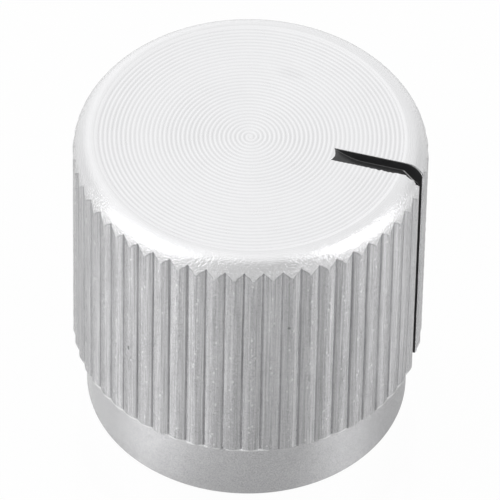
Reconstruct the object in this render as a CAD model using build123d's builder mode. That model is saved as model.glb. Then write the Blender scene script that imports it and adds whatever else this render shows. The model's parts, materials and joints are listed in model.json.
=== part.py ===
from build123d import *
import math
import os

os.makedirs("parts", exist_ok=True)

# A turned aluminium control knob for a guitar's potentiometer. It stands on its flat base with its
# axis on Z, and its pointer line runs along +X. All lengths are in millimetres, angles in degrees.

# Outside of the turned body
knurl_diameter = 19.0
knob_height = 18.9
shoulder_width = 1.13
shoulder_drop = 1.22
skirt_step = 0.75
skirt_height = 4.3
skirt_edge_break = 0.15
knurl_edge_break = 0.1

# Straight knurl: V grooves side by side, each crest left with a narrow land
groove_count = 58
groove_depth = 0.13
crest_land = 0.08
groove_phase = -2.0

# Pointer slot: over the top, the shoulder and the whole height of the knurl
slot_width = 0.9
slot_top_depth = 0.62
slot_side_depth = 0.5
slot_corner_leg = 0.73
slot_inner_radius = 4.45
slot_cutter_radius = 2.8
paint_thickness = 0.05

# Blind bore for a plain quarter inch shaft, with a lead-in and a drill point at its end
shaft_diameter = 6.35
shaft_clearance = 0.025
bore_depth = 13.0
bore_lead_in = 0.4
drill_point_angle = 118.0

# Set screw that clamps the shaft, in the skirt on the side away from the pointer
screw_diameter = 3.0
screw_recess = 0.5
screw_thread_clearance = 0.02
screw_tip_clearance = 0.05
screw_end_chamfer = 0.35
screw_cup_diameter = 1.4
screw_cup_depth = 0.4
socket_across_flats = 1.5
socket_depth = 2.0

# Sizes that follow from those above
knurl_radius = knurl_diameter / 2
skirt_radius = knurl_radius - skirt_step
bore_radius = shaft_diameter / 2 + shaft_clearance
groove_mouth = 2 * math.pi * knurl_radius / groove_count - crest_land
screw_height = skirt_height / 2
screw_tip_radius = bore_radius + screw_tip_clearance
screw_length = skirt_radius - screw_recess - screw_tip_radius
screw_hole_radius = screw_diameter / 2 + screw_thread_clearance

# Knurled blank that the slot and the bore are cut into: half section, from the axis outwards
with BuildPart() as knurled_blank:
    with BuildSketch(Plane.XZ):
        with BuildLine():
            Polyline(
                (0, 0),
                (skirt_radius - skirt_edge_break, 0),
                (skirt_radius, skirt_edge_break),
                (skirt_radius, skirt_height),
                (knurl_radius - knurl_edge_break, skirt_height),
                (knurl_radius, skirt_height + knurl_edge_break),
                (knurl_radius, knob_height - shoulder_drop),
            )
            shoulder_centre = (knurl_radius - shoulder_width, knob_height - shoulder_drop)
            shoulder = EllipticalCenterArc(
                shoulder_centre, shoulder_width, shoulder_drop, start_angle=0, arc_size=90
            )
            Polyline(shoulder @ 1, (0, knob_height), (0, 0))
        make_face()
    revolve(axis=Axis.Z)

    # Straight V grooves from the underside of the knurl up into the rounded shoulder
    with BuildSketch(Plane.XY.offset(skirt_height)):
        mouth_margin = groove_depth / 20
        reach = groove_depth + mouth_margin
        half_mouth = groove_mouth / 2 * reach / groove_depth
        with PolarLocations(knurl_radius - groove_depth, groove_count, start_angle=groove_phase):
            Polygon((0, 0), (reach, -half_mouth), (reach, half_mouth), align=None)
    extrude(amount=knob_height - skirt_height, mode=Mode.SUBTRACT)


def slot_shape(allowance):
    """Pointer slot as a solid, made smaller by allowance at its floor, run-out and both walls."""
    floor = knob_height - slot_top_depth + allowance
    side = knurl_radius - slot_side_depth + allowance
    corner = slot_corner_leg + allowance * (2 - math.sqrt(2))
    rim = slot_cutter_radius - allowance
    centre_height = knob_height - slot_top_depth + slot_cutter_radius
    run_out = math.sqrt(slot_cutter_radius**2 - (slot_cutter_radius - slot_top_depth) ** 2)
    centre_radius = slot_inner_radius + run_out
    lift_angle = math.degrees(math.acos((centre_height - knob_height) / rim))
    outside = knurl_radius + slot_side_depth
    above = knob_height + slot_top_depth
    with BuildPart() as slot:
        with BuildSketch(Plane.XZ.offset(allowance - slot_width / 2)):
            with BuildLine():
                run_in = CenterArc((centre_radius, centre_height), rim, 270 - lift_angle, lift_angle)
                Polyline(
                    run_in @ 1,
                    (side - corner, floor),
                    (side, floor - corner),
                    (side, 0),
                    (outside, 0),
                    (outside, above),
                    ((run_in @ 0).X, above),
                    run_in @ 0,
                )
            make_face()
        extrude(amount=slot_width - 2 * allowance)
    return slot.part


# Slot as cut, and the room that its coat of paint leaves free
slot_cut = slot_shape(0)
slot_free = slot_shape(paint_thickness)

# Whole body: the knurled blank with its slot, shaft bore and set screw hole
with BuildPart() as knob_body:
    add(knurled_blank.part)
    add(slot_cut, mode=Mode.SUBTRACT)

    # Blind shaft bore, open at the base
    with BuildSketch(Plane.XZ):
        with BuildLine():
            drill_point_height = bore_radius / math.tan(math.radians(drill_point_angle / 2))
            Polyline(
                (0, 0),
                (bore_radius + bore_lead_in, 0),
                (bore_radius, bore_lead_in),
                (bore_radius, bore_depth),
                (0, bore_depth + drill_point_height),
                (0, 0),
            )
        make_face()
    revolve(axis=Axis.Z, mode=Mode.SUBTRACT)

    # Radial hole for the set screw, from the bore out through the skirt
    screw_hole_plane = Plane(origin=(0, 0, screw_height), x_dir=(0, 1, 0), z_dir=(-1, 0, 0))
    with BuildSketch(screw_hole_plane):
        Circle(screw_hole_radius)
    extrude(amount=skirt_radius + screw_diameter, mode=Mode.SUBTRACT)

knob_body.part.label = "knob_body"
export_step(knob_body.part, "parts/knob_body.step")

# Black paint that lines the slot's floor, walls and run-out, flush with the turned surface
with BuildPart() as pointer_paint:
    add(slot_cut)
    add(slot_free, mode=Mode.SUBTRACT)
    add(knurled_blank.part, mode=Mode.INTERSECT)

pointer_paint.part.label = "pointer_paint"
export_step(pointer_paint.part, "parts/pointer_paint.step")

# Socket set screw: threaded barrel as a plain cylinder, hex socket outside, cup point at the shaft
with BuildPart() as set_screw:
    tip_plane = Plane(origin=(-screw_tip_radius, 0, screw_height), x_dir=(0, 1, 0), z_dir=(-1, 0, 0))
    with BuildSketch(tip_plane):
        Circle(screw_diameter / 2)
    extrude(amount=screw_length)
    chamfer(set_screw.edges().filter_by(GeomType.CIRCLE), length=screw_end_chamfer)

    # Hex socket, sunk from the outer end
    with BuildSketch(tip_plane.offset(screw_length)):
        RegularPolygon(socket_across_flats / 2, 6, major_radius=False)
    extrude(amount=-socket_depth, mode=Mode.SUBTRACT)

    # Cup at the tip
    with BuildSketch(tip_plane):
        Circle(screw_cup_diameter / 2)
    extrude(
        amount=screw_cup_depth,
        taper=math.degrees(math.atan(screw_cup_diameter / 4 / screw_cup_depth)),
        mode=Mode.SUBTRACT,
    )

set_screw.part.label = "set_screw"
export_step(set_screw.part, "parts/set_screw.step")
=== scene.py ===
import json
import math

import bpy
import numpy as np
from mathutils import Matrix, Vector


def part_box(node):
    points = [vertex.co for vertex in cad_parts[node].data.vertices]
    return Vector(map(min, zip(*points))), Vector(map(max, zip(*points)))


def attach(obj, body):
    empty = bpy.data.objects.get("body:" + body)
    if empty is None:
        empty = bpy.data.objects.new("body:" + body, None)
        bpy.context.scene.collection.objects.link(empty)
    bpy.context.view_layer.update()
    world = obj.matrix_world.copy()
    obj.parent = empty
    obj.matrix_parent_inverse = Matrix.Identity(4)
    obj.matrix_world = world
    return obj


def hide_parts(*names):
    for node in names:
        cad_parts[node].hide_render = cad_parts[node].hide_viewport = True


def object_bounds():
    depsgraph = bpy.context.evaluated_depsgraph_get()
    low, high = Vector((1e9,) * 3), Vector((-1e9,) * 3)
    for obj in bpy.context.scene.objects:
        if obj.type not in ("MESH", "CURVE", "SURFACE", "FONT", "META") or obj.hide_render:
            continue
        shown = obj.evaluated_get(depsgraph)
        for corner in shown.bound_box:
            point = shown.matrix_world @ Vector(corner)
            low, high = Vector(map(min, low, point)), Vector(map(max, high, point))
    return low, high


# A turned aluminium control knob. It stands on its base with its axis on Z and its pointer along +X.
# Lengths are in metres. The knob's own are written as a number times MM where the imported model
# doesn't give them.
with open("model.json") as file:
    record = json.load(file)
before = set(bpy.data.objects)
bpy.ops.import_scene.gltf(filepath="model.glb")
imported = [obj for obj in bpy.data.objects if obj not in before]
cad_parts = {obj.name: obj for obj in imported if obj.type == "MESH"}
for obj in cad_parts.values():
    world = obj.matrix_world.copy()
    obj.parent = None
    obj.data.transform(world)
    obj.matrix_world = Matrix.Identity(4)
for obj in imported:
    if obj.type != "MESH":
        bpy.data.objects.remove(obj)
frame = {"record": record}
cad_low, cad_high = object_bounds()
MM = 0.001
TURN = 2 * math.pi

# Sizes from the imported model
knob_radius = cad_high.y
knob_height = cad_high.z
paint_low, paint_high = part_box("pointer_paint")
screw_low, screw_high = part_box("set_screw")
bore = next(mount["dims"] for mount in frame["record"]["mounts"] if mount["name"] == "shaft_bore")
bore_radius = bore["r_mm"] * MM
bore_depth = bore["length_mm"] * MM
skirt_height = paint_low.z
slot_start = paint_low.x
slot_width = paint_high.y - paint_low.y
screw_radius = (screw_high.y - screw_low.y) / 2
screw_height = (screw_high.z + screw_low.z) / 2

# Turned outside
shoulder_width = 1.13 * MM
shoulder_drop = 1.22 * MM
skirt_radius = knob_radius - 0.75 * MM
skirt_edge_break = 0.15 * MM
knurl_edge_break = 0.1 * MM
bore_lead_in = 0.4 * MM
drill_point_angle = math.radians(118)
turning_feed = 0.2428 * MM
turning_relief = 0.020 * MM
turning_start = 0.26
turned_rings = 34
ring_wear = 0.08

# Straight knurl
groove_count = 58
groove_depth = 0.13 * MM
crest_land = 0.08 * MM
foot_width = 0.22
foot_rise = 0.37
tooth_columns = 9
crest_columns = (4, 5)
groove_phase = math.radians(-2.0)
crest_sink = 0.003 * MM

# Scatter from tooth to tooth: the groove's angle in radians, then its depth and its land as shares
groove_wander = 0.0012
depth_wander = 0.05
land_wander = 0.5

# Pointer slot and its paint
slot_top_depth = 0.62 * MM
slot_side_depth = 0.5 * MM
slot_corner_leg = 0.73 * MM
slot_cutter_radius = 2.8 * MM
slot_ridge = 0.10 * MM
slot_ridge_place = -0.2
paint_thickness = 0.05 * MM
paint_fillet = 0.07 * MM
knurl_reach = knob_radius - 0.08 * MM
bare_lip = 0.075 * MM
top_lip = 0.025 * MM
lip_flare = 1.1
level_set_back = 0.024 * MM
rim_wander = 0.01 * MM

# Set screw: coarse thread, hexagon socket and cup point
thread_pitch = 0.5 * MM
thread_depth = 0.307 * MM
thread_clearance = 0.02 * MM
thread_columns = 48
screw_end_chamfer = 0.35 * MM
socket_across_flats = 1.5 * MM
socket_depth = 2.0 * MM
cup_radius = 0.7 * MM
cup_depth = 0.4 * MM

# The floor lies a hair under the base, so that the two never share a plane
floor_gap = 0.01 * MM

# The photograph's view
image_size = 500
sensor_width = 36.0
focal_pixels = 8087.0
view_azimuth = math.radians(14.8)
view_elevation = math.radians(46.77)
view_roll = math.radians(1.128)
view_distance = 46.74 * knob_radius
base_centre_pixel = (246.3, 375.9)
nick_pixel = (128.6, 347.3)
dot_pixel = (289.0, 328.0)
smudge_pixel = (290.0, 73.0)

random = np.random.default_rng(58)


def level_axes():
    """Level directions as the camera has them: across to its right, and away from it."""
    side = Vector((math.cos(view_azimuth), math.sin(view_azimuth), 0))
    away = Vector((-math.sin(view_azimuth), math.cos(view_azimuth), 0))
    return side, away


def view_axes():
    """Right, up and forward of the camera: a level view turned by azimuth, tipped and rolled."""
    side, away = level_axes()
    forward = away * math.cos(view_elevation) - Vector((0, 0, math.sin(view_elevation)))
    level_up = side.cross(forward)
    right = side * math.cos(view_roll) + level_up * math.sin(view_roll)
    up = level_up * math.cos(view_roll) - side * math.sin(view_roll)
    return right, up, forward


def view_place():
    """Where the camera stands, so that the base's centre falls on its pixel at the view's distance."""
    right, up, forward = view_axes()
    across = (base_centre_pixel[0] - image_size / 2) / focal_pixels * view_distance
    down = (base_centre_pixel[1] - image_size / 2) / focal_pixels * view_distance
    return up * down - right * across - forward * view_distance


def sight_line(pixel):
    """The camera's place, and the direction of its line of sight through a pixel."""
    right, up, forward = view_axes()
    across = (pixel[0] - image_size / 2) / focal_pixels
    down = (pixel[1] - image_size / 2) / focal_pixels
    return view_place(), forward + right * across - up * down


def pixel_on_wall(pixel, radius):
    """Where the line of sight through a pixel first meets the upright cylinder of that radius."""
    place, sight = sight_line(pixel)
    squared = sight.x**2 + sight.y**2
    half = place.x * sight.x + place.y * sight.y
    rest = place.x**2 + place.y**2 - radius**2
    return place + sight * ((-half - math.sqrt(half**2 - squared * rest)) / squared)


def pixel_on_level(pixel, height):
    """Where the line of sight through a pixel meets the level plane at that height."""
    place, sight = sight_line(pixel)
    return place + sight * ((height - place.z) / sight.z)


def grid_faces(grid, first=0):
    """Triangles of a grid of points that closes across its columns, each cell halved along its
    shorter diagonal, or the falling one on a tie. Rows run outwards and down, columns anticlockwise."""
    tie = 0.999
    rows, columns = grid.shape[:2]
    row, column = np.meshgrid(np.arange(rows - 1), np.arange(columns), indexing="ij")
    following = (column + 1) % columns
    near = first + row * columns + column
    beside = first + row * columns + following
    below = near + columns
    diagonal = beside + columns
    falling = np.linalg.norm(grid[row + 1, following] - grid[row, column], axis=-1)
    rising = np.linalg.norm(grid[row + 1, column] - grid[row, following], axis=-1)
    rises = rising < tie * falling
    first_half = np.stack([near, below, np.where(rises, beside, diagonal)], -1)
    second_half = np.stack([np.where(rises, below, near), diagonal, beside], -1)
    return np.concatenate([first_half, second_half]).reshape(-1, 3)


def fan_faces(ring, pole, outwards):
    """Triangles from a ring of points to one pole point."""
    following = np.roll(ring, -1)
    pole_points = np.full_like(ring, pole)
    if outwards:
        return np.stack([pole_points, ring, following], -1)
    return np.stack([ring, pole_points, following], -1)


def stitch_faces(coarse, fine):
    """Triangles between a ring and the next one out, which has three times as many points."""
    start, second, third = fine.reshape(-1, 3).T
    coarse_next = np.roll(coarse, -1)
    start_next = np.roll(start, -1)
    parts = [
        (coarse, start, second),
        (coarse, second, third),
        (coarse, third, coarse_next),
        (coarse_next, third, start_next),
    ]
    return np.concatenate([np.stack(part, -1) for part in parts])


def new_piece(name, points, faces):
    """A mesh object from an array of points and an array of triangles."""
    mesh = bpy.data.meshes.new(name)
    mesh.vertices.add(len(points))
    mesh.vertices.foreach_set("co", np.asarray(points, np.float32).ravel())
    mesh.loops.add(faces.size)
    mesh.loops.foreach_set("vertex_index", faces.astype(np.int32).ravel())
    mesh.polygons.add(len(faces))
    mesh.polygons.foreach_set("loop_start", np.arange(0, faces.size, 3, dtype=np.int32))
    mesh.update(calc_edges=True)
    mesh.validate()
    piece = bpy.data.objects.new(name, mesh)
    bpy.context.scene.collection.objects.link(piece)
    return piece


def closed_grid(name, grid):
    """A closed piece from a grid of points (rows, columns, 3), with a pole point at each end."""
    rows, columns = grid.shape[:2]
    points = np.concatenate([grid.reshape(-1, 3), [grid[0].mean(0)], [grid[-1].mean(0)]])
    first_ring = np.arange(columns)
    last_ring = first_ring + (rows - 1) * columns
    faces = [
        grid_faces(grid),
        fan_faces(first_ring, rows * columns, True),
        fan_faces(last_ring, rows * columns + 1, False),
    ]
    return new_piece(name, points, np.concatenate(faces))


def carve(piece, cutter):
    """Cuts one closed piece out of another and throws the cutter away."""
    modifier = piece.modifiers.new("cut", "BOOLEAN")
    modifier.operation = "DIFFERENCE"
    modifier.solver = "EXACT"
    modifier.object = cutter
    graph = bpy.context.evaluated_depsgraph_get()
    carved = bpy.data.meshes.new_from_object(piece.evaluated_get(graph))
    piece.modifiers.clear()
    piece.data = carved
    bpy.data.objects.remove(cutter)


def shade(piece, crease):
    """Smooth faces, with edges sharper than the crease angle kept crisp."""
    mesh = piece.data
    mesh.polygons.foreach_set("use_smooth", np.ones(len(mesh.polygons), bool))
    mesh.set_sharp_from_angle(angle=math.radians(crease))


def smooth_noise(shape, width):
    """Seeded noise of about unit size, smoothed down its first axis over that many rows."""
    noise = random.normal(size=shape)
    padded = np.concatenate([noise, noise[:width]])
    sums = np.cumsum(padded, axis=0)
    return (sums[width:] - sums[:-width]) / math.sqrt(width)


def knurl_outline():
    """Plan of the knurl as angle and reach of nine columns a tooth: the groove, three points up the
    flank, the two edges of the crest and three points down the other flank. A flank is straight but
    for its foot, which is steeper. Depth and place differ a little by tooth."""
    pitch = TURN / groove_count
    half_mouth = (pitch * knob_radius - crest_land) / 2 / knob_radius
    wander = random.normal(size=(3, groove_count))
    groove = groove_phase + np.arange(groove_count) * pitch + groove_wander * wander[0]
    depth = groove_depth * (1 + depth_wander * wander[1])
    land = (1 + land_wander * np.tanh(wander[2])) * (pitch / 2 - half_mouth)
    middle = groove_phase + (np.arange(groove_count) + 0.5) * pitch
    crest_start = middle - land
    crest_end = middle + land
    next_groove = np.roll(groove, -1)
    next_groove[-1] += TURN
    next_depth = np.roll(depth, -1)
    flank_parts = np.array([0.0, foot_width, 0.48, 0.78])
    flank_depth = np.interp(flank_parts, [0, foot_width, 1], [1, 1 - foot_rise, 0])
    rise_angle = groove[:, None] + (crest_start - groove)[:, None] * flank_parts
    rise_depth = depth[:, None] * flank_depth
    fall_angle = next_groove[:, None] + (crest_end - next_groove)[:, None] * flank_parts[:0:-1]
    fall_depth = next_depth[:, None] * flank_depth[:0:-1]
    crest_depth = np.full((groove_count, 2), crest_sink)
    crest_angle = np.stack([crest_start, crest_end], 1)
    angle = np.concatenate([rise_angle, crest_angle, fall_angle], 1).ravel()
    sunk = np.concatenate([rise_depth, crest_depth, fall_depth], 1).ravel()
    return angle, knob_radius - sunk


def polar_points(radius, angle, height):
    """Points from cylindrical coordinates, as one array."""
    radius, angle, height = np.broadcast_arrays(radius, angle, height)
    return np.stack([radius * np.cos(angle), radius * np.sin(angle), height], -1)


def turned_top(angle):
    """The flat top with the tool's spiral: height falls by a cosine of radius over feed less turns.
    The relief grows over the first part of a ring and dies away over the last."""
    rows_per_ring = 6
    first_part = 0.8
    last_part = 0.5
    wear_rows = 40
    rows = turned_rings * rows_per_ring
    radius = (np.arange(1, rows + 1) / rows_per_ring * turning_feed)[:, None]
    turns = radius / turning_feed - angle[None, :] / TURN - turning_start
    fade_in = np.clip(radius / turning_feed / first_part, 0, 1)
    fade_out = np.clip((turned_rings - radius / turning_feed) / last_part, 0, 1)
    wear = 1 + ring_wear * smooth_noise((rows, 1), wear_rows)
    relief = turning_relief * fade_in * fade_out * wear * (0.5 - 0.5 * np.cos(TURN * turns))
    return polar_points(radius, angle[None, :], knob_height - relief)


def turned_side(angle, reach):
    """The outside from the shoulder down, under the skirt and up the bore, on the knurl's columns.
    The shoulder is a quarter ellipse: its upper rows are level circles, and the others close up on
    the edge where each column of the knurl meets it."""
    flat_radius = knob_radius - shoulder_width
    end_angle = np.arccos(np.clip((reach - flat_radius) / shoulder_width, 0, 1))
    shared_end = math.radians(32)
    shared_rows = 13
    own_rows = 6
    shared = np.linspace(math.pi / 2, shared_end, shared_rows)[:, None]
    own_part = np.linspace(0, 1, own_rows + 1)[1:, None]
    own = shared_end + (end_angle - shared_end) * own_part
    lean = np.concatenate([np.broadcast_to(shared, (len(shared), len(angle))), own])
    shoulder = polar_points(
        flat_radius + shoulder_width * np.cos(lean),
        angle,
        knob_height - shoulder_drop + shoulder_drop * np.sin(lean),
    )

    # Knurl wall, with crests that the knurling tool left ragged, but straight at both ends
    wall_rows = 60
    end_share = 1 / 12
    sideways_rough = (0.016 * MM, 0.003 * MM)
    inwards_rough = (0.012 * MM, 0.002 * MM)
    part = np.linspace(0, 1, wall_rows + 1)[1:, None]
    top = shoulder[-1, :, 2]
    bevel = np.maximum(0, reach - (knob_radius - knurl_edge_break))
    foot = skirt_height + bevel
    height = top + (foot - top) * part
    crest = np.isin(np.arange(len(angle)) % tooth_columns, crest_columns)
    fade = np.clip(part / end_share, 0, 1) * np.clip((1 - part) / end_share, 0, 1)
    sideways = smooth_noise((wall_rows, len(angle)), 3) * np.where(crest, *sideways_rough)
    inwards = np.abs(smooth_noise((wall_rows, len(angle)), 2)) * np.where(crest, *inwards_rough)
    wall = polar_points(reach - inwards * fade, angle + sideways * fade / knob_radius, height)

    # Bevel at the knurl's foot and the ledge in to the skirt
    ledge_radius = np.minimum(reach, knob_radius - knurl_edge_break)
    share = np.array([0.0, 0.5, 1.0])[:, None]
    ledge = polar_points(ledge_radius + (skirt_radius - ledge_radius) * share, angle, skirt_height)

    # Skirt, base, lead-in and bore: circles down, in and up
    skirt_rows = 6
    base_rows = 5
    bore_rows = 4
    below_ledge = 0.05 * MM
    skirt = polar_points(
        skirt_radius,
        angle,
        np.linspace(skirt_height - below_ledge, skirt_edge_break, skirt_rows)[:, None],
    )
    base_ends = skirt_radius - skirt_edge_break, bore_radius + bore_lead_in
    base_radius = np.linspace(*base_ends, base_rows)[:, None]
    base = polar_points(base_radius, angle, 0.0)
    bore_top = bore_lead_in + bore_depth
    bore_wall = polar_points(bore_radius, angle, np.linspace(bore_lead_in, bore_top, bore_rows)[:, None])
    drill_rise = bore_radius / math.tan(drill_point_angle / 2)
    drill_part = np.linspace(0.25, 0.95, bore_rows)[:, None]
    drill_point = polar_points(bore_radius * (1 - drill_part), angle, bore_top + drill_rise * drill_part)
    return np.concatenate([shoulder, wall, ledge, skirt, base, bore_wall, drill_point])


def make_knob_body():
    """Knob body: the top's disc on a third of the columns, stitched to the side's grid, then both
    ends closed, and the pointer slot and the set screw's hole cut out."""
    angle, reach = knurl_outline()
    columns = len(angle)
    top = turned_top(angle[0::3])
    side = turned_side(angle, reach)
    coarse = columns // 3
    top_count = top.shape[0] * coarse
    side_count = side.shape[0] * columns
    drill_end = bore_lead_in + bore_depth + bore_radius / math.tan(drill_point_angle / 2)
    poles = np.array([[0, 0, knob_height], [0, 0, drill_end]])
    points = np.concatenate([top.reshape(-1, 3), side.reshape(-1, 3), poles])
    last_top_ring = np.arange(coarse) + top_count - coarse
    first_side_ring = np.arange(columns) + top_count
    last_side_ring = first_side_ring + side_count - columns
    faces = [
        fan_faces(np.arange(coarse), len(points) - 2, True),
        grid_faces(top),
        stitch_faces(last_top_ring, first_side_ring),
        grid_faces(side, top_count),
        fan_faces(last_side_ring, len(points) - 1, False),
    ]
    body = new_piece("turned_body", points, np.concatenate(faces))
    carve(body, slot_cutter())
    carve(body, screw_hole_cutter())
    shade(body, 12)
    return body


def slot_path(lowest):
    """Side view of the slot's floor: a run-out arc, the floor, a slanted corner and the side, as
    points with their outward normals, the stretch that each is on and how far along it."""
    floor = knob_height - slot_top_depth
    side = knob_radius - slot_side_depth
    lift = math.acos((slot_cutter_radius - slot_top_depth) / slot_cutter_radius)
    centre_x = slot_start + slot_cutter_radius * math.sin(lift)
    centre_z = floor + slot_cutter_radius
    arc_points = 15
    floor_points = 22
    corner_points = 14
    side_points = 60
    swing = np.linspace(lift, 0, arc_points)
    arc = np.stack([
        centre_x - slot_cutter_radius * np.sin(swing), centre_z - slot_cutter_radius * np.cos(swing)
    ], -1)
    flat_x = np.linspace(centre_x, side - slot_corner_leg, floor_points)[1:]
    flat = np.stack([flat_x, np.full_like(flat_x, floor)], -1)
    corner_part = np.linspace(0, 1, corner_points)[1:]
    corner = np.stack([
        side - slot_corner_leg * (1 - corner_part), floor - slot_corner_leg * corner_part
    ], -1)
    side_z = np.linspace(floor - slot_corner_leg, lowest, side_points)[1:]
    upright = np.stack([np.full_like(side_z, side), side_z], -1)
    path = np.concatenate([arc, flat, corner, upright])
    step = np.gradient(path, axis=0)
    normal = np.stack([-step[:, 1], step[:, 0]], -1)
    normal /= np.linalg.norm(normal, axis=1, keepdims=True)
    stretch = np.concatenate([
        np.full(len(arc), 0), np.full(len(flat), 1), np.full(len(corner), 2), np.full(len(upright), 3)
    ])
    part = np.concatenate([np.linspace(0, 1, len(arc)), np.linspace(0, 1, len(flat) + 1)[1:],
                           corner_part, np.linspace(0, 1, len(upright) + 1)[1:]])
    return path, normal, stretch, part


def slot_rim(path, stretch, part):
    """Where the slot's edge lies in side view: level over the top, round the shoulder's ellipse, then
    down the knurl. With it go the outward directions there."""
    flat_radius = knob_radius - shoulder_width
    end_lean = math.acos((knurl_reach - flat_radius) / shoulder_width)
    lean = math.pi / 2 + (end_lean - math.pi / 2) * part
    shoulder_x = flat_radius + shoulder_width * np.cos(lean)
    shoulder_z = knob_height - shoulder_drop * (1 - np.sin(lean))
    lowest = path[-1, 1]
    rim_foot = knob_height - shoulder_drop * (1 - math.sin(end_lean))
    side_z = rim_foot + (lowest - rim_foot) * part
    top = stretch < 2
    corner = stretch == 2
    place = np.stack([
        np.select([top, corner], [path[:, 0], shoulder_x], knurl_reach),
        np.select([top, corner], [knob_height, shoulder_z], side_z),
    ], -1)
    outwards = np.stack([
        np.select([top, corner], [0.0, np.cos(lean)], 1.0),
        np.select([top, corner], [1.0, np.sin(lean)], 0.0),
    ], -1)
    return place, outwards


def far_lip(stretch, part):
    """Depth to which the slot's far edge is broken and bare of paint: least over the top, growing
    round the shoulder, and most down the side."""
    growing = top_lip + (bare_lip - top_lip) * part
    return np.select([stretch < 2, stretch == 2], [top_lip, growing], bare_lip)


def ridge_height(across, stretch, part):
    """Height of the floor above its corners: a parabola to each side of the ridge, which the two
    passes of the cutter left, fading out over the slanted corner."""
    span = np.where(across > slot_ridge_place, 1 - slot_ridge_place, 1 + slot_ridge_place)
    profile = 1 - ((across - slot_ridge_place) / span) ** 2
    strength = np.select([stretch < 2, stretch == 2], [1.0, 1 - part], 0.0)
    return slot_ridge * strength[:, None] * np.clip(profile, 0, 1)[None, :]


def near_wall(stretch, part, wander):
    """Where the slot's near wall lies: at half a width, smooth at the run-out's start, rougher along
    the floor, and roughest round the shoulder."""
    run_out_rough = 0.012 * part
    floor_rough = 0.016 + 0.012 * part
    corner_rough = 0.04
    side_rough = 0.012
    places = [stretch == 0, stretch == 1, stretch == 2]
    rough = np.select(places, [run_out_rough, floor_rough, corner_rough], side_rough) * MM
    return slot_width / 2 + rough * wander


def slot_cutter():
    """The slot as a closed tube: each section runs down the far wall, which leans out above its
    bend, over the ridged floor and up the near wall, and closes outside the knob."""
    below_knurl = 0.3 * MM
    clear = 0.7 * MM
    path, normal, stretch, part = slot_path(skirt_height - below_knurl)
    outside_top = knob_height + clear
    outside_side = knob_radius + clear
    turn = np.clip(part * 2, 0, 1) * (outside_side - path[:, 0])
    drop = np.clip(part * 2 - 1, 0, 1) * (outside_top - path[:, 1])
    outer_x = np.select([stretch < 2, stretch == 2], [path[:, 0], path[:, 0] + turn], outside_side)
    outer_z = np.select([stretch < 2, stretch == 2], [outside_top, outside_top - drop], path[:, 1])
    across = np.array([1.0, 0.6, 0.2, -0.2, -0.6, -1.0])
    ridge = ridge_height(across, stretch, part)
    near = near_wall(stretch, part, slot_wander[:len(path)])
    width = np.where(across[None, :] > 0, slot_width / 2, near[:, None])
    floor_x = path[:, 0, None] + normal[:, 0, None] * ridge
    floor_z = path[:, 1, None] + normal[:, 1, None] * ridge
    floor = np.stack([floor_x, across[None, :] * width, floor_z], -1)
    rim, outwards = slot_rim(path, stretch, part)
    lip = far_lip(stretch, part)
    lip_x, lip_z = np.maximum((rim - outwards * lip[:, None]).T, path.T)
    flare = lip_flare * np.hypot(outer_x - lip_x, outer_z - lip_z)
    far_edge = np.stack([outer_x, slot_width / 2 + flare, outer_z], -1)[:, None]
    far_bend = np.stack([lip_x, np.full_like(lip_x, slot_width / 2), lip_z], -1)[:, None]
    near_edge = np.stack([outer_x, -near, outer_z], -1)[:, None]
    grid = np.concatenate([far_edge, far_bend, floor, near_edge], 1)

    # The run-out goes on above the top, so that the cut has no thin skin at its start
    lead_length = 0.5 * MM
    lead_rise = 0.45 * MM
    lead = grid[:1].copy()
    lead[..., 0] -= lead_length
    lead[:, 2:-1, 2] += lead_rise
    return closed_grid("slot_cutter", np.concatenate([lead, grid]))


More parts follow.
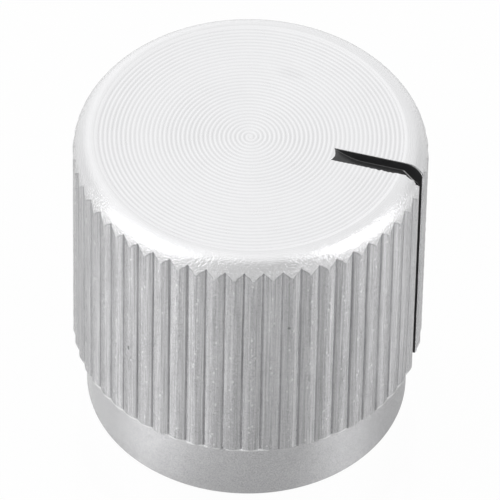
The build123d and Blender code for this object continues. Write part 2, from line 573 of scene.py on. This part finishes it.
def make_pointer_paint():
    """Paint coat in the slot: each section is a thin channel, with its outer face on the metal and
    its inner face rounded into the corners. Its rim follows the knob's outside, set back a little."""
    above_knurl_foot = 0.02 * MM
    path, normal, stretch, part = slot_path(skirt_height + above_knurl_foot)
    half = slot_width / 2
    near = near_wall(stretch, part, slot_wander[:len(path)])

    # The coat ends below the turned rings' valleys, and the broken far edge is bare
    rim, outwards = slot_rim(path, stretch, part)
    ragged = rim_wander * np.abs(slot_wander[-len(path):])
    far_back = far_lip(stretch, part) + np.where(stretch > 1, ragged, 0)
    near_back = level_set_back + np.where(stretch > 1, ragged, 0)
    far_rim = rim - outwards * far_back[:, None]
    near_rim = rim - outwards * near_back[:, None]

    # Section: sideways place and lift above the floor's corner line, for the outer and inner face
    coat = paint_thickness
    bend = paint_fillet
    ease = bend * (1 - math.sqrt(0.5))
    outer_in = np.array([0, coat, coat + bend])
    outer_lift = np.array([coat, 0, 0])
    inner_in = coat + np.array([0, ease, bend])
    inner_lift = coat + np.array([bend, ease, 0])
    middle = np.array([0.55, 0.2, slot_ridge_place, -0.55])

    # The coat thins out where the run-out is shallow, and the ridge lifts its walls less than its floor
    full_coat_depth = 0.2 * MM
    least_coat = 0.02
    wall_share = 0.3
    room = np.clip((knob_height - path[:, 1]) / full_coat_depth, least_coat, 1)[:, None]

    def face(inwards, lift, rise):
        """One face of the coat over all stations, from the far rim to the near rim."""
        far_y = np.tile(half - inwards, (len(path), 1))
        near_y = -near[:, None] + inwards[::-1]
        centre_y = np.tile(middle * half, (len(path), 1))
        y = np.concatenate([far_y, centre_y, near_y], 1)
        up = np.concatenate([lift, np.full(len(middle), rise), lift[::-1]])[None, :] * room
        low = lift < coat + rise
        on_floor = np.concatenate([low, np.full(len(middle), True), low[::-1]])
        stops = np.linspace(-1, 1, 9)
        heights = ridge_height(-stops, stretch, part)
        ridge = np.stack([np.interp(-y[i] / half, stops, heights[i]) for i in range(len(path))])
        up = up + ridge * np.where(on_floor, 1, wall_share)[None, :]
        x = path[:, 0, None] + normal[:, 0, None] * up
        z = np.minimum(path[:, 1, None] + normal[:, 1, None] * up, knob_height - level_set_back)
        return np.stack([x, y, z], -1)

    outer = face(outer_in, outer_lift, 0.0)
    inner = face(inner_in, inner_lift, coat)

    def rims(inset):
        """The far and the near rim points, moved in from the walls by the inset."""
        far = np.stack([far_rim[:, 0], np.full(len(path), half - inset), far_rim[:, 1]], -1)
        close = np.stack([near_rim[:, 0], -near + inset, near_rim[:, 1]], -1)
        return far[:, None], close[:, None]

    outer_far, outer_near = rims(0.0)
    inner_far, inner_near = rims(coat)
    outer = np.concatenate([outer_far, outer, outer_near], 1)
    inner = np.concatenate([inner_far, inner, inner_near], 1)
    loop = np.concatenate([outer[:, ::-1], inner], 1)
    stations, around = loop.shape[:2]
    across = outer.shape[1]
    strip = np.arange(across - 1)

    def end_cap(offset, flip):
        """Quads across the coat's thickness at one end, as triangles."""
        outer_index = offset + across - 1 - strip
        inner_index = offset + across + strip
        quads = [outer_index, inner_index, inner_index + 1, outer_index - 1]
        if flip:
            quads = quads[::-1]
        first, second, third, fourth = quads
        return np.concatenate([np.stack([first, second, third], -1), np.stack([first, third, fourth], -1)])

    faces = np.concatenate([
        grid_faces(loop), end_cap(0, True), end_cap((stations - 1) * around, False)
    ])
    piece = new_piece("pointer_coat", loop.reshape(-1, 3), faces)
    shade(piece, 35)
    return piece


def thread_surface(along, angle, clearance):
    """Radius of a thread: full at its crests and less by the thread's depth in its roots, as a
    triangle wave of length over pitch less turns, with both its tips cut flat by a share."""
    tip_cut = 0.2
    turns = (along / thread_pitch - angle / TURN) % 1
    wave = np.clip(np.abs(turns - 0.5) * 2 * (1 + 2 * tip_cut) - tip_cut, 0, 1)
    return screw_radius - thread_depth * wave + clearance


def lie_along_x(radius, angle, along):
    """Points round the set screw's own axis, which lies along X at the screw's height."""
    radius, angle, along = np.broadcast_arrays(radius, angle, along)
    return np.stack([along, radius * np.cos(angle), screw_height + radius * np.sin(angle)], -1)


def screw_hole_cutter():
    """Threaded hole: the screw's thread with its clearance, from inside the bore out past the skirt."""
    angle = np.linspace(0, TURN, thread_columns, endpoint=False)[None, :]
    past_skirt = 0.6 * MM
    into_bore = 0.9 * MM
    rows = 118
    along = np.linspace(-skirt_radius - past_skirt, -bore_radius + into_bore, rows)[:, None]
    radius = thread_surface(along, angle, thread_clearance)
    return closed_grid("screw_hole_cutter", lie_along_x(radius, -angle, along))


def make_set_screw():
    """Set screw: from the socket's bottom out to its hexagonal mouth, over the outer end, along the
    thread and into the cup at the tip. A hexagon's radius is its half width over the cosine."""
    angle = np.linspace(0, TURN, thread_columns, endpoint=False)[None, :]
    barrel_rows = 110
    mouth_depth = 0.12 * MM
    mouth_flare = 1.08
    sixth = TURN / 6
    hexagon = socket_across_flats / 2 / np.cos((angle + sixth / 2) % sixth - sixth / 2)
    outer_end = screw_low.x
    tip = screw_high.x
    socket_floor = outer_end + socket_depth
    floor_share = np.array([0.3, 0.98, 1.0])[:, None]
    floor_x = socket_floor + np.array([0.35, 0.02, 0.0])[:, None] * MM
    socket = lie_along_x(hexagon * floor_share, -angle, floor_x)
    mouth_x = np.array([outer_end + mouth_depth, outer_end])[:, None]
    mouth = lie_along_x(hexagon * np.array([1.0, mouth_flare])[:, None], -angle, mouth_x)
    along = np.linspace(outer_end, tip, barrel_rows)[:, None]
    inset = np.minimum(along - outer_end, tip - along)
    chamfer = screw_radius - screw_end_chamfer + inset
    barrel = lie_along_x(np.minimum(thread_surface(along, angle, 0.0), chamfer), -angle, along)
    cup_x = tip - np.array([0.0, 0.5, 0.95])[:, None] * cup_depth
    cup = lie_along_x(cup_radius * np.array([1.0, 0.5, 0.05])[:, None], -angle, cup_x)
    piece = closed_grid("threaded_screw", np.concatenate([socket, mouth, barrel, cup]))
    shade(piece, 30)
    return piece


class Value:
    """A socket that carries a number: an expression on it adds its Math nodes."""

    def __init__(self, shader, socket):
        self.shader = shader
        self.socket = socket

    def __add__(self, other):
        return self.shader.maths("ADD", self, other)

    def __radd__(self, other):
        return self.shader.maths("ADD", other, self)

    def __sub__(self, other):
        return self.shader.maths("SUBTRACT", self, other)

    def __rsub__(self, other):
        return self.shader.maths("SUBTRACT", other, self)

    def __mul__(self, other):
        return self.shader.maths("MULTIPLY", self, other)

    def __rmul__(self, other):
        return self.shader.maths("MULTIPLY", other, self)

    def __truediv__(self, other):
        return self.shader.maths("DIVIDE", self, other)

    def __pow__(self, other):
        return self.shader.maths("POWER", self, other)


class Shader:
    """The node tree of a material or the world."""

    def __init__(self, owner):
        owner.use_nodes = True
        self.tree = owner.node_tree
        self.tree.nodes.clear()

    def node(self, kind, settings=None, sockets=None):
        """Adds a node: its settings first, then the values or links of its sockets."""
        node = self.tree.nodes.new(kind)
        for name, value in (settings or {}).items():
            setattr(node, name, value)
        for name, value in (sockets or {}).items():
            socket = next(entry for entry in node.inputs if name in (entry.identifier, entry.name))
            if isinstance(value, Value):
                value = value.socket
            if isinstance(value, bpy.types.NodeSocket):
                self.tree.links.new(value, socket)
            else:
                socket.default_value = value
        return node

    def maths(self, operation, *values):
        """A Math node on numbers or values."""
        node = self.node("ShaderNodeMath", {"operation": operation})
        for socket, value in zip(node.inputs, values):
            if isinstance(value, Value):
                self.tree.links.new(value.socket, socket)
            else:
                socket.default_value = value
        return Value(self, node.outputs[0])

    def place(self, scale=(1, 1, 1), centre=(0, 0, 0)):
        """Object coordinates less a centre, stretched by a Mapping node."""
        coordinates = self.node("ShaderNodeTexCoord").outputs["Object"]
        moved = self.node("ShaderNodeVectorMath", {"operation": "SUBTRACT"}, {"Vector": coordinates})
        moved.inputs[1].default_value = centre
        sockets = {"Vector": moved.outputs[0], "Scale": scale}
        return self.node("ShaderNodeMapping", {"vector_type": "POINT"}, sockets).outputs[0]

    def coordinates(self):
        """X, Y and Z of the Object coordinates as values."""
        split = self.node("ShaderNodeSeparateXYZ", {}, {"Vector": self.place()})
        return [Value(self, socket) for socket in split.outputs]

    def noise(self, vector, scale, detail=2.0, roughness=0.5):
        """Noise between 0 and 1."""
        sockets = {"Vector": vector, "Scale": scale, "Detail": detail, "Roughness": roughness}
        return Value(self, self.node("ShaderNodeTexNoise", {}, sockets).outputs[0])

    def cells(self, vector, scale):
        """Distance to the nearest of a cloud of points, in cells."""
        sockets = {"Vector": vector, "Scale": scale}
        return Value(self, self.node("ShaderNodeTexVoronoi", {}, sockets).outputs["Distance"])

    def ramp(self, value, low, high):
        """Goes smoothly from 0 at low to 1 at high, or the other way where low is more."""
        settings = {"interpolation_type": "SMOOTHSTEP"}
        flipped = low > high
        sockets = {"Value": value, "From Min": min(low, high), "From Max": max(low, high)}
        sockets.update({"To Min": float(flipped), "To Max": float(not flipped)})
        return Value(self, self.node("ShaderNodeMapRange", settings, sockets).outputs[0])

    def blend(self, factor, first, second):
        """A colour between two colours."""
        sockets = {"Factor_Float": factor, "A_Color": first, "B_Color": second}
        mix = self.node("ShaderNodeMix", {"data_type": "RGBA"}, sockets)
        return next(socket for socket in mix.outputs if socket.identifier == "Result_Color")

    def bump(self, height, depth, normal=None):
        """A normal from a height between 0 and 1, for a relief of that depth in metres."""
        sockets = {"Height": height, "Distance": depth, "Strength": 1.0}
        if normal is not None:
            sockets["Normal"] = normal
        return self.node("ShaderNodeBump", {}, sockets).outputs[0]

    def spot(self, centre, size):
        """1 at a centre, falling to 0 at the given half sizes."""
        scale = tuple(1 / half for half in size)
        sockets = {"Vector": self.place(scale, centre)}
        away = self.node("ShaderNodeVectorMath", {"operation": "LENGTH"}, sockets)
        return self.ramp(Value(self, away.outputs["Value"]), 1.0, 0.4)

    def finish(self, sockets, kind="ShaderNodeBsdfPrincipled", output="ShaderNodeOutputMaterial"):
        """The surface itself, joined to the output."""
        surface = self.node(kind, {}, sockets)
        self.node(output, {}, {"Surface": surface.outputs[0]})


def satin_aluminium():
    """Turned aluminium, satin etched. The tone is darkest on the knurl's cut flanks, which carry upright
    streaks, lighter on the skirt and brightest on the shoulder and top: the darker sides are painted
    shade."""
    material = bpy.data.materials.new("satin_aluminium")
    shader = Shader(material)
    x, y, z = shader.coordinates()
    radius = (x * x + y * y) ** 0.5
    shoulder_foot = knob_height - shoulder_drop
    flat_radius = knob_radius - shoulder_width

    # Where each surface lies, from 0 to 1. The flanks are sunk under the shoulder's ellipse.
    lift = shader.maths("MAXIMUM", (z - shoulder_foot) / shoulder_drop, 0.0)
    rounded = flat_radius + shoulder_width * shader.maths("MAXIMUM", 1 - lift * lift, 0.0) ** 0.5
    sunk = rounded - radius
    cut = shader.ramp(sunk, 0.004 * MM, 0.012 * MM)
    cut = cut * shader.ramp(z, knob_height - 0.03 * MM, knob_height - 0.1 * MM)
    straight = shader.ramp(z, shoulder_foot + 0.1 * MM, shoulder_foot)
    upright = shader.maths("MAXIMUM", cut, straight)
    sideways = shader.maths("ABSOLUTE", y)
    milled = shader.ramp(sideways, slot_width / 2 + 0.02 * MM, slot_width / 2 + 0.01 * MM)
    milled = milled * shader.ramp(x, skirt_radius, skirt_radius + 0.02 * MM)
    wall = upright * shader.ramp(radius, skirt_radius + 0.3 * MM, skirt_radius + 0.5 * MM)
    crest = shader.ramp(radius, knob_radius - 0.05 * MM, knob_radius - 0.02 * MM) * wall
    # Bottoms of the grooves, which the tone darkens as painted shade
    groove = shader.ramp(radius, knob_radius - 0.65 * groove_depth, knob_radius - groove_depth) * wall
    rim = shader.ramp(sunk, 0.0, 0.006 * MM) * shader.ramp(sunk, 0.04 * MM, 0.02 * MM) * (1 - straight)
    shoulder = shader.ramp(radius, knob_radius - 1.3 * shoulder_width, knob_radius - 0.7 * shoulder_width)
    edge = shoulder * (1 - upright) * shader.ramp(z, shoulder_foot + 1.0 * MM, shoulder_foot + 0.3 * MM)
    skirt = shader.ramp(z, skirt_height, skirt_height - 0.05 * MM)
    # Valleys of the turned rings, which the tone darkens as painted shade
    valley_shade = shader.ramp(z, knob_height, knob_height - turning_relief)
    valley_shade = valley_shade * shader.ramp(radius, flat_radius, flat_radius - 0.05 * MM)

    # Grain and tool marks: each noise has its number of cells to a metre
    grain = shader.noise(shader.place(), 14000.0, 2.0, 0.6)
    grit = shader.noise(shader.place(), 11000.0, 2.0, 0.6)
    cloud = shader.noise(shader.place(), 900.0, 3.0)
    streak = shader.noise(shader.place((1, 1, 0.012)), 13000.0, 3.0, 0.7)
    ring_mark = shader.noise(shader.place((0.02, 0.02, 1)), 14000.0, 2.0, 0.6)
    fine_mark = shader.noise(shader.place((0.02, 0.02, 1)), 60000.0, 1.0, 0.5)
    speck = shader.ramp(shader.cells(shader.place((1, 1, 0.6)), 3300.0), 0.24, 0.08)
    worm = shader.noise(shader.place((1, 1, 0.45)), 9000.0, 2.0, 0.6) - 0.5
    # Painted highlight: bright patches along the knurl's foot, where its burrs are
    burr_highlight = shader.ramp(z, skirt_height + 0.18 * MM, skirt_height + 0.12 * MM) * wall
    burr_highlight = burr_highlight * shader.ramp(shader.noise(shader.place((1, 1, 0.1)), 900.0, 1.0), 0.36, 0.5)

    # Blemishes that the photographed knob has
    crest_radius = knob_radius - 0.05 * MM
    nick = shader.spot(pixel_on_wall(nick_pixel, crest_radius), (0.08 * MM, 0.3 * MM, 0.2 * MM))
    dot = shader.spot(pixel_on_wall(dot_pixel, crest_radius), (0.1 * MM, 0.1 * MM, 0.13 * MM))
    smudge = shader.spot(pixel_on_level(smudge_pixel, knob_height), (1.1 * MM, 0.5 * MM, 0.5 * MM))
    dirt = shader.ramp(shader.cells(shader.place(), 520.0), 0.075, 0.03)

    # Tone from dull to bright, less the marks and the painted shade, then roughness and fine relief
    marks_and_shade = nick * 0.8 + dot * 0.6 + smudge * 0.06 + dirt * 0.04
    # Painted shade in the knurl's grooves and the top's ring valleys, and a darker band where the flanks
    # begin to sink under the shoulder
    marks_and_shade = marks_and_shade + 0.12 * rim + 0.16 * valley_shade + 0.3 * groove
    # Painted shade: the upright sides, except the milled slot walls, take a much darker tone than the top,
    # and the skirt takes part of it back
    finish_and_painted_light = 0.88 - 0.64 * upright * (1 - milled) + 0.33 * skirt + 0.08 * cloud + 0.5 * streak * wall
    finish_and_painted_light = finish_and_painted_light + 0.35 * (streak - 0.5) * wall + crest * (0.35 * speck + 0.3 * worm) + 0.8 * burr_highlight
    finish_and_painted_light = finish_and_painted_light + 0.45 * (grain - 0.5) * upright + 0.4 * (grit - 0.5) * skirt
    finish_and_painted_light = finish_and_painted_light - 0.08 * edge + 1.2 * (grit - 0.5) * edge
    dull = (0.30, 0.30, 0.31, 1)
    bright = (0.95, 0.95, 0.96, 1)
    tone = shader.blend(shader.ramp(finish_and_painted_light - marks_and_shade, 0.0, 1.0), dull, bright)
    roughness = 0.26 - 0.08 * shoulder - 0.09 * skirt + 0.04 * cloud
    normal = shader.bump(grain, 0.0085 * MM)
    normal = shader.bump(grit * (0.7 * shoulder + edge), 0.038 * MM, normal)
    normal = shader.bump(streak * wall, 0.010 * MM, normal)
    normal = shader.bump(ring_mark * skirt, 0.006 * MM, normal)
    normal = shader.bump(fine_mark * upright, 0.010 * MM, normal)
    shader.finish({"Base Color": tone, "Metallic": 1.0, "Roughness": roughness, "Normal": normal})
    return material


def black_paint():
    """Satin black paint, slightly uneven. A painted highlight lies as a pale line along the floor's far
    corner, faint over the top and bright on the slant, and the floor on top is painted a little lighter."""
    material = bpy.data.materials.new("black_paint")
    shader = Shader(material)
    flow = shader.noise(shader.place(), 3500.0, 3.0)
    dust = shader.noise(shader.place(), 16000.0, 2.0)
    x, y, z = shader.coordinates()
    inner_wall = slot_width / 2 - paint_thickness
    # Painted highlight: a pale line in the corner between the floor and the far wall, faint over the top
    line = shader.ramp(y, inner_wall - 0.95 * paint_fillet, inner_wall - 0.7 * paint_fillet)
    line = line * shader.ramp(y, inner_wall - 0.05 * paint_fillet, inner_wall - 0.3 * paint_fillet)
    corner_x = knob_radius - slot_side_depth - slot_corner_leg
    corner_z = knob_height - slot_top_depth - slot_corner_leg
    # Painted glint, bright, on the slanted corner
    slant_glint = shader.ramp(x, corner_x, corner_x + 0.08 * MM) * shader.ramp(z, corner_z, corner_z + 0.1 * MM)
    upper = shader.ramp(z, corner_z - 0.3 * MM, corner_z)
    line = line * (0.2 * upper + 0.8 * slant_glint)
    # Painted light: the floor paint on top is made a little lighter than the walls
    lighter_floor = shader.ramp(y, inner_wall - 0.9 * paint_fillet, inner_wall - 1.3 * paint_fillet) * upper
    # Pale tone of the painted highlight and of the lighter floor
    pale = (0.8, 0.8, 0.8, 1)
    tone = shader.blend(flow, (0.028, 0.028, 0.029, 1), (0.048, 0.048, 0.050, 1))
    tone = shader.blend(lighter_floor * 0.03, tone, pale)
    tone = shader.blend(line, tone, pale)
    roughness = 0.34 + 0.18 * flow
    normal = shader.bump(flow, 0.02 * MM)
    normal = shader.bump(dust, 0.004 * MM, normal)
    shader.finish({"Base Color": tone, "Roughness": roughness, "Normal": normal})
    return material


def blackened_steel():
    """Black oxide on steel: brown black, duller in the roots, with bare steel on the thread's crests."""
    material = bpy.data.materials.new("blackened_steel")
    shader = Shader(material)
    y, z = shader.coordinates()[1:]
    height = z - screw_height
    radius = (y * y + height * height) ** 0.5
    worn = shader.ramp(radius, screw_radius - 0.05 * MM, screw_radius)
    cloud = shader.noise(shader.place(), 4000.0, 3.0)
    grain = shader.noise(shader.place(), 20000.0, 2.0)
    tone = shader.blend(worn * 0.5 + cloud * 0.3, (0.055, 0.053, 0.052, 1), (0.30, 0.29, 0.28, 1))
    roughness = 0.38 + 0.2 * cloud
    normal = shader.bump(grain, 0.004 * MM)
    shader.finish({"Base Color": tone, "Metallic": 1.0, "Roughness": roughness, "Normal": normal})
    return material


def white_share(shader, seen, mirrored):
    """How much plain white a ray sees: one share for the camera, one for mirrors and clear pieces."""
    path = shader.node("ShaderNodeLightPath")
    camera = Value(shader, path.outputs["Is Camera Ray"])
    glossy = Value(shader, path.outputs["Is Glossy Ray"])
    through = Value(shader, path.outputs["Is Transmission Ray"])
    return camera * seen + (glossy + through) * mirrored


def make_floor():
    """Plain pale floor: a square that lifts a little towards its edges, lit by the lamps and partly
    glossy. The camera sees it nearly white, and so does the metal where it is far off."""
    half = 3.0
    cells = 40
    edge_lift = 0.02
    steps = np.linspace(-half, half, cells + 1)
    x, y = np.meshgrid(steps, steps, indexing="ij")
    rise = edge_lift * np.clip(np.hypot(x, y) / half - 0.5, 0, None) ** 2
    points = np.stack([x, y, rise - floor_gap], -1).reshape(-1, 3)
    row, column = np.meshgrid(np.arange(cells), np.arange(cells), indexing="ij")
    near = (row * (cells + 1) + column).ravel()
    below = near + cells + 1
    faces = np.concatenate([
        np.stack([near, below, below + 1], -1), np.stack([near, below + 1, near + 1], -1)
    ])
    floor = new_piece("studio_floor", points, faces)
    shade(floor, 30)
    material = bpy.data.materials.new("floor_paper")
    shader = Shader(material)
    paper = shader.noise(shader.place(), 60.0, 2.0)
    tone = shader.blend(paper, (0.60, 0.60, 0.60, 1), (0.63, 0.63, 0.63, 1))
    gloss_share = 0.35
    lit = shader.node("ShaderNodeBsdfDiffuse", {}, {"Color": tone})
    gloss = shader.node("ShaderNodeBsdfGlossy", {}, {"Color": (1, 1, 1, 1), "Roughness": 0.08})
    glazed = shader.node("ShaderNodeMixShader", {}, {"Fac": gloss_share})
    shader.tree.links.new(lit.outputs[0], glazed.inputs[1])
    shader.tree.links.new(gloss.outputs[0], glazed.inputs[2])

    # Painted light for reflections: a plain white glow, which the metal sees from some way off the knob
    # and most of it behind the knob, so the floor near the knob and in front of it mirrors dimmer, as
    # painted shade
    white = shader.node("ShaderNodeEmission", {}, {"Color": (1, 1, 1, 1), "Strength": 1.0})
    x, y = shader.coordinates()[:2]
    away = (x * x + y * y) ** 0.5
    behind = (y * math.cos(view_azimuth) - x * math.sin(view_azimuth)) / away
    far_off = shader.ramp(away, 0.03, 0.12) * (0.4 + 0.6 * shader.ramp(behind, 0.65, 0.95))
    seen_white = 0.97
    share = white_share(shader, seen_white, 0.08 + 0.8 * far_off)
    mix = shader.node("ShaderNodeMixShader", {}, {"Fac": share})
    shader.tree.links.new(glazed.outputs[0], mix.inputs[1])
    shader.tree.links.new(white.outputs[0], mix.inputs[2])
    shader.node("ShaderNodeOutputMaterial", {}, {"Surface": mix.outputs[0]})
    floor.data.materials.append(material)


def make_world():
    """Soft surroundings, which the camera sees as white. What the metal mirrors is brighter to the
    left, and dimmer low at both sides and on the camera's side."""
    world = bpy.data.worlds.new("studio")
    bpy.context.scene.world = world
    shader = Shader(world)

    # Slope says how far a direction points to the left, and rise how far up
    direction = shader.node("ShaderNodeTexCoord").outputs["Generated"]
    side, away = level_axes()
    dim_elevation = math.radians(18)
    dim_side = Vector((0, 0, math.sin(dim_elevation))) - away * math.cos(dim_elevation)
    facing = shader.node("ShaderNodeVectorMath", {"operation": "DOT_PRODUCT"}, {"Vector": direction})
    facing.inputs[1].default_value = dim_side
    dim_share = shader.ramp(Value(shader, facing.outputs["Value"]), 0.25, 0.97)
    leftward = shader.node("ShaderNodeVectorMath", {"operation": "DOT_PRODUCT"}, {"Vector": direction})
    leftward.inputs[1].default_value = -side
    slope = Value(shader, leftward.outputs["Value"])
    rise = Value(shader, shader.node("ShaderNodeSeparateXYZ", {}, {"Vector": direction}).outputs["Z"])
    side_share = shader.ramp(shader.maths("ABSOLUTE", slope), 0.4, 0.75) * shader.ramp(rise, 0.65, 0.4)
    left_gain = 0.18 * shader.ramp(slope, -0.35, 0.35) - 0.05 * shader.ramp(slope, 0.3, 0.45)
    height_gain = 0.05 * shader.ramp(rise, 0.75, 0.92) + 0.03 * shader.ramp(rise, 0.68, 0.5)
    mirrored = 0.835 + left_gain + height_gain - 0.25 * side_share - 0.37 * dim_share
    fill = 0.36
    camera = white_share(shader, 1.0, 0.0)
    glossy = white_share(shader, 0.0, 1.0)
    strength = camera + glossy * mirrored + (1 - camera - glossy) * fill
    sockets = {"Color": (1, 1, 1, 1), "Strength": strength}
    shader.finish(sockets, "ShaderNodeBackground", "ShaderNodeOutputWorld")


def make_lamp(name, across, back, up, width, length, radiance):
    """A soft box, placed across, back and up as the camera sees it, aimed at the knob's middle.
    Its power is pi times its area times its radiance."""
    side, away = level_axes()
    lamp = bpy.data.lights.new(name, "AREA")
    lamp.shape = "RECTANGLE"
    lamp.size = width
    lamp.size_y = length
    lamp.energy = math.pi * width * length * radiance
    box = bpy.data.objects.new(name, lamp)
    bpy.context.scene.collection.objects.link(box)
    place = side * across + away * back + Vector((0, 0, up))
    aim = Vector((0, 0, knob_height / 2))
    box.location = place
    box.rotation_euler = (aim - place).to_track_quat("-Z", "Y").to_euler()
    box.visible_camera = False
    return box


def make_lights():
    """Tall soft boxes to the left and the right, a little towards the camera, which the metal
    mirrors, and a small strong one behind on the left, which it doesn't."""
    tall = {"up": 0.205, "width": 0.12, "length": 0.36}
    make_lamp("left_box", across=-0.295, back=-0.13, radiance=2.0, **tall)
    make_lamp("right_box", across=0.307, back=-0.10, radiance=2.2, **tall)
    small = {"up": 0.30, "width": 0.18, "length": 0.18}
    key = make_lamp("key_box", across=-0.20, back=0.28, radiance=15.0, **small)
    key.visible_glossy = False


def make_camera():
    """The camera at the photograph's place, with its long lens."""
    right, up, forward = view_axes()
    lens = bpy.data.cameras.new("camera")
    lens.sensor_width = sensor_width
    lens.lens = focal_pixels / image_size * sensor_width
    lens.clip_start = 0.01
    camera = bpy.data.objects.new("camera", lens)
    bpy.context.scene.collection.objects.link(camera)
    axes = Matrix((right, up, -forward)).transposed()
    camera.matrix_world = Matrix.Translation(view_place()) @ axes.to_4x4()
    bpy.context.scene.camera = camera


def dress(piece, material, node):
    """Gives a piece its material and puts it in the place of its solid."""
    piece.data.materials.clear()
    piece.data.materials.append(material)
    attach(piece, "root")
    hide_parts(node)


# Unevenness of the slot's near edge and of the paint's rim, shared by the cut and the coat: more
# values than a slot's path has points
wander_count = 200
slot_wander = smooth_noise((wander_count,), 2)

dress(make_knob_body(), satin_aluminium(), "knob_body")
dress(make_pointer_paint(), black_paint(), "pointer_paint")
dress(make_set_screw(), blackened_steel(), "set_screw")
make_floor()
make_world()
make_lights()
make_camera()
bpy.context.scene.view_settings.view_transform = "Standard"
